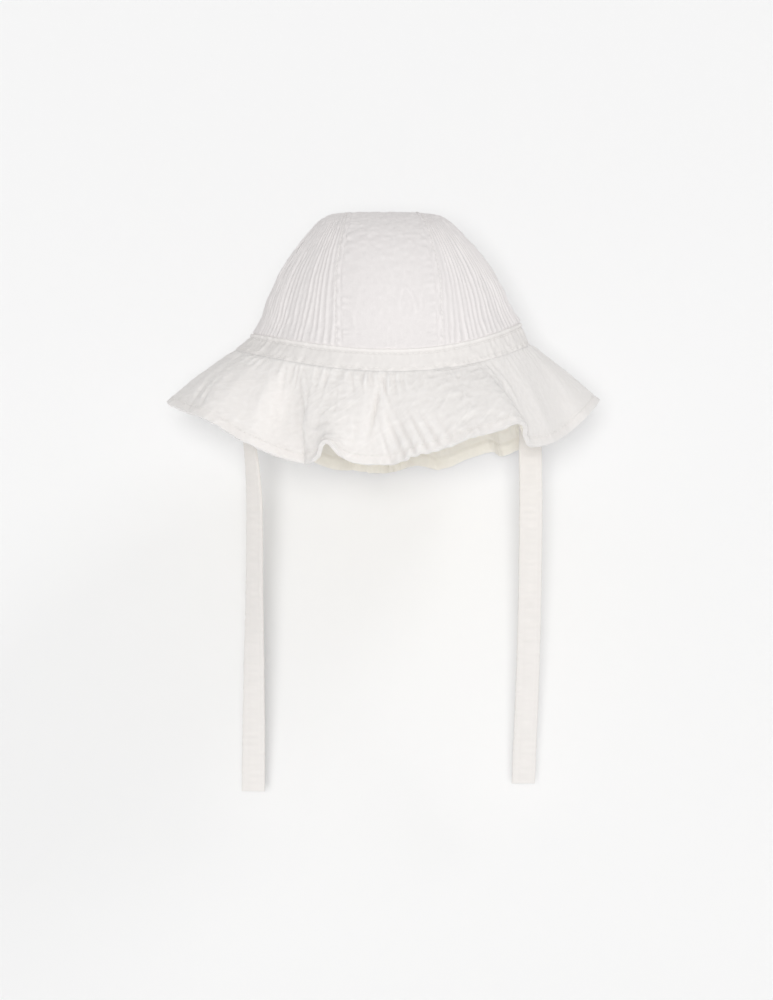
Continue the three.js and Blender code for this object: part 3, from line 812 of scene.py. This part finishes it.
def cotton(name, colour, bump=0.55, threads=1500, glow=0, spun=False):
    """Matt cotton: woven, on the cloth's own UV map in metres, or spun, by its place in the hat.

    The share of glow is how much light passes through the cloth.
    """
    # The colour in the creases, darker by painted shade
    creased = 0.85
    material = bpy.data.materials.new(name)
    material.use_nodes = True
    nodes, links = material.node_tree.nodes, material.node_tree.links
    shader = nodes["Principled BSDF"]
    finish = {
        "Sheen Weight": 0.04, "Sheen Roughness": 0.6, "Specular IOR Level": 0.2,
        "Subsurface Weight": glow, "Subsurface Radius": (1, 1, 1), "Subsurface Scale": 2.5 * MM,
    }
    for label, value in finish.items():
        shader.inputs[label].default_value = value
    weave = nodes.new("ShaderNodeGroup")
    weave.node_tree = weave_group()
    weave.inputs["Threads per Metre"].default_value = threads
    tone = nodes.new("ShaderNodeGroup")
    tone.node_tree = tone_group()
    tone.inputs["Cloth"].default_value = (*colour, 1)
    tone.inputs["Crease Shade"].default_value = (*(c * creased for c in colour), 1)
    relief = nodes.new("ShaderNodeBump")
    relief.inputs["Strength"].default_value = bump
    relief.inputs["Distance"].default_value = 0.12 * MM
    if spun:
        place = nodes.new("ShaderNodeTexCoord").outputs["Object"]
    else:
        layer = nodes.new("ShaderNodeUVMap")
        layer.uv_map = "cloth"
        place = layer.outputs["UV"]
        # The crest attribute paints shade into the creases
        crest = nodes.new("ShaderNodeAttribute")
        crest.attribute_name = "crest"
        links.new(crest.outputs["Fac"], tone.inputs["Crest"])
    links.new(place, weave.inputs["Vector"])
    links.new(place, tone.inputs["Vector"])
    links.new(weave.outputs["Slub"], tone.inputs["Slub"])
    links.new(weave.outputs["Height"], relief.inputs["Height"])
    links.new(tone.outputs["Color"], shader.inputs["Base Color"])
    links.new(tone.outputs["Roughness"], shader.inputs["Roughness"])
    links.new(relief.outputs["Normal"], shader.inputs["Normal"])
    return material


def finish_of(name, *args, **values):
    return bpy.data.materials.get(name) or cotton(name, *args, **values)


# Stitches

def one_stitch(length, radius):
    """A mesh of one rounded stitch that lies along X."""
    stitch = bmesh.new()
    bmesh.ops.create_uvsphere(stitch, u_segments=6, v_segments=5, radius=radius,
                              matrix=Matrix.Rotation(math.pi / 2, 4, "Y"))
    bmesh.ops.scale(stitch, verts=stitch.verts, vec=(length / 2 / radius, 1, 1))
    # The sphere's points and faces come in another order each time, so they are sorted
    slant = Vector((1, 0.37, 0.11))
    stitch.verts.sort(key=lambda vert: slant.dot(vert.co))
    stitch.faces.sort(key=lambda face: slant.dot(face.calc_center_median()))
    mesh = bpy.data.meshes.new("one_stitch")
    stitch.to_mesh(mesh)
    stitch.free()
    return mesh


def stitch_places(surface, relief, u, v, closed=False):
    """Frames of the stitches along a line on the cloth: spots, and directions along, across, up."""
    size = sizes()
    normals = normals_of(surface, u, v, closed)
    radius = size.thread_width / 2
    line = surface(u, v) + normals * (relief(u, v) + radius * THREAD_LIFT)[:, None]
    run = np.r_[0, np.cumsum(np.linalg.norm(np.diff(line, axis=0), axis=1))]
    count = int(run[-1] / (size.stitch_length * STITCH_PITCH))
    places = (np.arange(count) + 0.5) * run[-1] / count

    def at(places, values):
        return np.stack([np.interp(places, run, values[:, k]) for k in range(3)], -1)

    reach = size.stitch_length / 3
    along = at(places + reach, line) - at(places - reach, line)
    along /= np.linalg.norm(along, axis=1, keepdims=True)
    across = np.cross(at(places, normals), along)
    across /= np.linalg.norm(across, axis=1, keepdims=True)
    return at(places, line), along, across, np.cross(along, across)


def seam_stitches(surface, relief, edge):
    """Frames of the stitches along one seam of a side panel, at a steady distance from it."""
    distances = edge_distances(surface)
    up = np.linspace(*SEAM_STITCH_RUN, SEAM_SAMPLES)
    across = np.full(SEAM_SAMPLES, float(edge))
    for _ in range(3):
        left, right = distances(across, up)
        missing = (SEAM_STITCHING - (right if edge else left)) / (left + right)
        across = across + (-missing if edge else missing)
    return stitch_places(surface, relief, across, up)


def sew(name, lines, thread):
    """One piece of all the stitches of some lines."""
    size = sizes()
    stitch = one_stitch(size.stitch_length, size.thread_width / 2)
    spots, along, across, up = (np.concatenate(parts) for parts in zip(*lines))
    row = bmesh.new()
    for _ in spots:
        row.from_mesh(stitch)
    mesh = bpy.data.meshes.new(name)
    row.to_mesh(mesh)
    row.free()
    shape = np.empty(len(stitch.vertices) * 3)
    stitch.vertices.foreach_get("co", shape)
    shape = shape.reshape(1, -1, 3)
    points = (spots[:, None] + shape[..., :1] * along[:, None] + shape[..., 1:2] * across[:, None]
              + shape[..., 2:] * up[:, None])
    mesh.vertices.foreach_set("co", points.ravel())
    bpy.data.meshes.remove(stitch)
    mesh.polygons.foreach_set("use_smooth", [True] * len(mesh.polygons))
    mesh.materials.append(thread)
    mesh.update()
    piece = bpy.data.objects.new(name, mesh)
    bpy.context.scene.collection.objects.link(piece)
    return piece


class HAT_OT_camera(bpy.types.Operator):
    """Place the camera in front of the hat, a little above it"""

    bl_idname = "hat.camera"
    bl_label = "Camera"

    def execute(self, context):
        azimuth, elevation = math.radians(-1.5), math.radians(1.5)
        distance = 2.4
        seen_height = 0.54
        target = Vector((0, 0, -0.08))
        data = bpy.data.cameras.new("camera")
        data.sensor_width = 36
        data.lens = data.sensor_width * distance / seen_height
        data.clip_start, data.clip_end = 0.05, 50
        camera = bpy.data.objects.new("camera", data)
        back = Vector((
            math.sin(azimuth) * math.cos(elevation),
            -math.cos(azimuth) * math.cos(elevation),
            math.sin(elevation),
        ))
        camera.location = target + back * distance
        camera.rotation_euler = (-back).to_track_quat("-Z", "Y").to_euler()
        context.scene.collection.objects.link(camera)
        context.scene.camera = camera
        return {"FINISHED"}


class HAT_OT_crown(bpy.types.Operator):
    """Make the crown's centre panel and its two side panels"""

    bl_idname = "hat.crown"
    bl_label = "Crown"

    def execute(self, context):
        outside = finish_of("crown_cotton", colours().crown)
        # The inner faces take the lighter, creamier colour of painted light
        inside = finish_of("crown_cotton_inside_painted_light", colours().inner_face_painted_light)
        size = sizes()
        centre = cloth_piece("centre_panel_cloth", centre_panel, centre_relief, columns=84, rows=380)
        dress(centre, "crown_gauze", "crown_centre_panel")
        thicken(centre, size.cloth, outside, inside)
        for side, word in ((-1, "left"), (1, "right")):
            surface = side_panel(side)
            panel = cloth_piece(f"side_panel_{word}_cloth", surface, side_relief(surface, 20 + side),
                                columns=260, rows=140)
            dress(panel, "crown_gauze", f"crown_side_panel_{word}")
            thicken(panel, size.cloth, outside, inside)
        return {"FINISHED"}


class HAT_OT_band(bpy.types.Operator):
    """Make the flared band between the crown and the brim"""

    bl_idname = "hat.band"
    bl_label = "Band"

    def execute(self, context):
        size = sizes()
        band = cloth_piece("band_cloth", band_surface, band_relief, columns=720, rows=20, closed=True)
        dress(band, "band_gauze", "crown_band")
        thicken(band, size.cloth, finish_of("band_cotton", colours().brim),
                finish_of("band_cotton_inside_painted_light", colours().inner_face_painted_light))
        return {"FINISHED"}


class HAT_OT_brim(bpy.types.Operator):
    """Make the gathered brim with its folds and turned hem"""

    bl_idname = "hat.brim"
    bl_label = "Brim"

    def execute(self, context):
        size = sizes()
        brim = cloth_piece("brim_cloth", brim_surface, brim_relief, columns=820, rows=56, closed=True)
        dress(brim, "brim_gauze", "ruffle_brim")
        wall = thicken(brim, HEM_THICKNESS, finish_of("brim_cotton", colours().brim, glow=0.5),
                       finish_of("brim_cotton_inside_painted_light", colours().inner_face_painted_light, glow=0.5))
        layer = brim.data.uv_layers["cloth"].data
        long = max(corner.uv.y for corner in layer)
        height = np.zeros(len(brim.data.vertices))
        for loop in brim.data.loops:
            height[loop.vertex_index] = layer[loop.index].uv.y / long * size.brim_length
        turned = height < size.hem_width
        hem = brim.vertex_groups.new(name="hem")
        hem.add(np.flatnonzero(turned).tolist(), 1.0, "REPLACE")
        hem.add(np.flatnonzero(~turned).tolist(), size.cloth / HEM_THICKNESS, "REPLACE")
        wall.vertex_group = "hem"
        return {"FINISHED"}


def tie_route(side):
    """Centre points, turns and directions of a tie, from its sewn end to its foot."""
    size = sizes()
    azimuth = np.array(side * np.pi / 2)
    seat = size.cloth + SEAM_GAP + size.tie_thickness / 2
    top, foot = band_point(azimuth, 0), band_point(azimuth, size.band_width)
    slope = (foot - top) / np.linalg.norm(foot - top)
    inward = np.cross([0, side, 0], slope)
    sewn = TIE_SEWN_SHARE * size.band_width
    start = band_point(azimuth, size.band_width - sewn) + inward * seat
    end = foot + inward * seat
    hanging = size.tie_length - sewn
    places, points, turns = [0, sewn], [start, end], [90, 90]
    for fall, drift, sway, turn in TIE_RUNS[side]:
        places.append(sewn + fall * hanging)
        points.append(end + np.array([side * drift * size.tie_width, -sway * size.tie_width,
                                      -fall * hanging]))
        turns.append(turn)
    points = np.array(points)
    route = [curve_through(places, points[:, k]) for k in range(3)]
    return route, curve_through(places, turns)


def tie_section(around):
    """Places across and through a tie's flat section with round corners, from -1 to 1."""
    phase = -2 * np.pi * around
    across, deep = np.cos(phase), np.sin(phase)
    return np.sign(across) * np.abs(across) ** TIE_CORNER, np.sign(deep) * np.abs(deep) ** TIE_CORNER


def tie_surface(side):
    """Round the tie's flat section, and from its sewn end down to its foot."""
    route, turn = tie_route(side)
    size = sizes()

    def surface(around, down):
        place = down * size.tie_length
        centre = np.stack([curve(place) for curve in route], -1)
        step = 0.5 * MM
        ahead = np.stack([curve(place + step) - curve(place - step) for curve in route], -1)
        ahead = ahead / np.linalg.norm(ahead, axis=-1, keepdims=True)
        angle = np.radians(turn(place))
        wide = np.stack([np.cos(angle), side * np.sin(angle), np.zeros_like(angle)], -1)
        thick = np.cross(ahead, wide)
        thick = thick / np.linalg.norm(thick, axis=-1, keepdims=True)
        across, deep = tie_section(around)
        return (centre + wide * (across * size.tie_width / 2)[..., None]
                + thick * (deep * size.tie_thickness / 2)[..., None])

    return surface


def tie_relief(seed):
    def relief(around, down):
        size = sizes()
        x, y = tie_section(around)[0] * size.tie_width / 2, down * size.tie_length
        return raised(
            TIE_HEIGHTS,
            level=lumps(x, y, 7, 1.9, seed),
            rumple=lumps(x, y, 5, 7, seed + 1),
            line=bell(x + size.tie_width / 6, STITCH_GROOVE),
        )
    return relief


class HAT_OT_ties(bpy.types.Operator):
    """Make the two flat ties that hang from inside the band"""

    bl_idname = "hat.ties"
    bl_label = "Ties"

    def execute(self, context):
        for side, word in ((-1, "left"), (1, "right")):
            tie = cloth_piece(f"tie_{word}_cloth", tie_surface(side), tie_relief(60 + side),
                              columns=56, rows=420, closed=True)
            ends = bmesh.new()
            ends.from_mesh(tie.data)
            rims = [edge for edge in ends.edges if edge.is_boundary]
            bmesh.ops.holes_fill(ends, edges=rims, sides=0)
            bmesh.ops.recalc_face_normals(ends, faces=ends.faces)
            ends.to_mesh(tie.data)
            ends.free()
            tie.data.materials.append(finish_of("tie_cotton", colours().tie))
            dress(tie, "tie_gauze", f"tie_{word}")
        return {"FINISHED"}


class HAT_OT_stitching(bpy.types.Operator):
    """Sew the stitch lines along the seams and the hem"""

    bl_idname = "hat.stitching"
    bl_label = "Stitching"

    def execute(self, context):
        size = sizes()
        # The thread's lighter colour is painted light over the stitches' own shade
        thread = cotton("sewing_thread", colours().thread, bump=0.3, threads=4200, spun=True)
        around = np.linspace(0, 1, ROUND_SAMPLES)

        def round_line(surface, relief, height):
            return stitch_places(surface, relief, around, np.full(ROUND_SAMPLES, height), closed=True)

        heights = (1 - BAND_TOP_STITCHING / size.band_width, BAND_FOOT_STITCHING / size.band_width)
        lines = [round_line(band_surface, band_relief, height) for height in heights]
        dress(sew("band_stitches", lines, thread), "band_gauze")
        height = (size.hem_width - HEM_STITCHING) / size.brim_length
        dress(sew("hem_stitches", [round_line(brim_surface, brim_relief, height)], thread), "brim_gauze")
        lines = []
        for side in (-1, 1):
            surface = side_panel(side)
            relief = side_relief(surface, 20 + side)
            lines += [seam_stitches(surface, relief, edge) for edge in (0, 1)]
        dress(sew("panel_stitches", lines, thread), "crown_gauze")
        return {"FINISHED"}


def backdrop_piece():
    """One sheet for the floor and the back, swept from a row of points."""
    rise = Vector((0, math.sin(BACKDROP_LEAN), math.cos(BACKDROP_LEAN)))
    turn = math.pi / 2 - BACKDROP_LEAN
    bend_start = BACKDROP_FOOT - BACKDROP_BEND * math.tan(turn / 2)
    sheet = bmesh.new()
    first = sheet.verts.new((-BACKDROP_WIDTH / 2, FLOOR_FRONT, FLOOR_HEIGHT))
    last = sheet.verts.new((-BACKDROP_WIDTH / 2, bend_start, FLOOR_HEIGHT))
    sheet.edges.new((first, last))
    swept = bmesh.ops.spin(sheet, geom=[last], cent=(0, bend_start, FLOOR_HEIGHT + BACKDROP_BEND),
                           axis=(1, 0, 0), angle=turn, steps=10)
    top = [item for item in swept["geom_last"] if isinstance(item, bmesh.types.BMVert)]
    risen = bmesh.ops.extrude_vert_indiv(sheet, verts=top)
    bmesh.ops.translate(sheet, verts=risen["verts"], vec=rise * BACKDROP_HEIGHT)
    widened = bmesh.ops.extrude_edge_only(sheet, edges=sheet.edges[:])
    moved = [item for item in widened["geom"] if isinstance(item, bmesh.types.BMVert)]
    bmesh.ops.translate(sheet, verts=moved, vec=(BACKDROP_WIDTH, 0, 0))
    bmesh.ops.recalc_face_normals(sheet, faces=sheet.faces)
    if max(sheet.faces, key=lambda face: face.calc_area()).normal.z < 0:
        bmesh.ops.reverse_faces(sheet, faces=sheet.faces)
    for face in sheet.faces:
        face.smooth = True
    mesh = bpy.data.meshes.new("backdrop")
    sheet.to_mesh(mesh)
    sheet.free()
    backdrop = bpy.data.objects.new("backdrop", mesh)
    bpy.context.scene.collection.objects.link(backdrop)
    return backdrop


def backdrop_paper():
    """Matt off-white paper that is clear when it is seen from behind."""
    paper = bpy.data.materials.new("backdrop_paper")
    paper.use_nodes = True
    nodes, links = paper.node_tree.nodes, paper.node_tree.links
    shader = nodes["Principled BSDF"]
    shader.inputs["Base Color"].default_value = (0.93, 0.93, 0.93, 1)
    shader.inputs["Roughness"].default_value = 1
    shader.inputs["Specular IOR Level"].default_value = 0
    side = nodes.new("ShaderNodeNewGeometry")
    clear = nodes.new("ShaderNodeBsdfTransparent")
    pick = nodes.new("ShaderNodeMixShader")
    links.new(side.outputs["Backfacing"], pick.inputs["Fac"])
    links.new(shader.outputs["BSDF"], pick.inputs[1])
    links.new(clear.outputs["BSDF"], pick.inputs[2])
    links.new(pick.outputs["Shader"], nodes["Material Output"].inputs["Surface"])
    return paper


def add_sun(name, azimuth, height, strength, spread):
    """A light from far away, at an azimuth from the front towards +X and a height in degrees."""
    data = bpy.data.lights.new(name, "SUN")
    data.energy = strength
    data.angle = math.radians(spread)
    light = bpy.data.objects.new(name, data)
    azimuth, height = math.radians(azimuth), math.radians(height)
    aim = Vector((-math.sin(azimuth) * math.cos(height), math.cos(azimuth) * math.cos(height),
                  -math.sin(height)))
    light.rotation_euler = aim.to_track_quat("-Z", "Y").to_euler()
    bpy.context.scene.collection.objects.link(light)


class HAT_OT_stage(bpy.types.Operator):
    """Make the pale floor, the backdrop behind it and the soft lights"""

    bl_idname = "hat.stage"
    bl_label = "Stage"

    def execute(self, context):
        backdrop = backdrop_piece()
        backdrop.data.materials.append(backdrop_paper())
        world = bpy.data.worlds.new("studio")
        world.use_nodes = True
        world.node_tree.nodes["Background"].inputs["Color"].default_value = (1, 1, 1, 1)
        world.node_tree.nodes["Background"].inputs["Strength"].default_value = WORLD_STRENGTH
        context.scene.world = world
        for row in LIGHTS:
            add_sun(*row)
        context.scene.view_settings.view_transform = "Standard"
        return {"FINISHED"}


class HAT_PT_sidebar(bpy.types.Panel):
    """Lists the steps that dress the hat"""

    bl_idname = "HAT_PT_sidebar"
    bl_label = "Sun Hat"
    bl_space_type = "VIEW_3D"
    bl_region_type = "UI"
    bl_category = "Sun Hat"

    def draw(self, context):
        for step in STEPS:
            self.layout.operator(step.bl_idname)
        for group in (context.scene.hat_sizes, context.scene.hat_colours):
            for name in group.__annotations__:
                self.layout.prop(group, name)


STEPS = (
    HAT_OT_camera, HAT_OT_crown, HAT_OT_band, HAT_OT_brim, HAT_OT_ties, HAT_OT_stitching, HAT_OT_stage,
)
CLASSES = (HatSizes, HatColours, *STEPS, HAT_PT_sidebar)


def register():
    for item in CLASSES:
        bpy.utils.register_class(item)
    bpy.types.Scene.hat_sizes = bpy.props.PointerProperty(type=HatSizes)
    bpy.types.Scene.hat_colours = bpy.props.PointerProperty(type=HatColours)


def unregister():
    del bpy.types.Scene.hat_colours
    del bpy.types.Scene.hat_sizes
    for item in reversed(CLASSES):
        bpy.utils.unregister_class(item)


def main():
    register()
    bpy.ops.hat.camera()
    bpy.ops.hat.crown()
    bpy.ops.hat.band()
    bpy.ops.hat.brim()
    bpy.ops.hat.ties()
    bpy.ops.hat.stitching()
    bpy.ops.hat.stage()


if __name__ == "__main__":
    main()
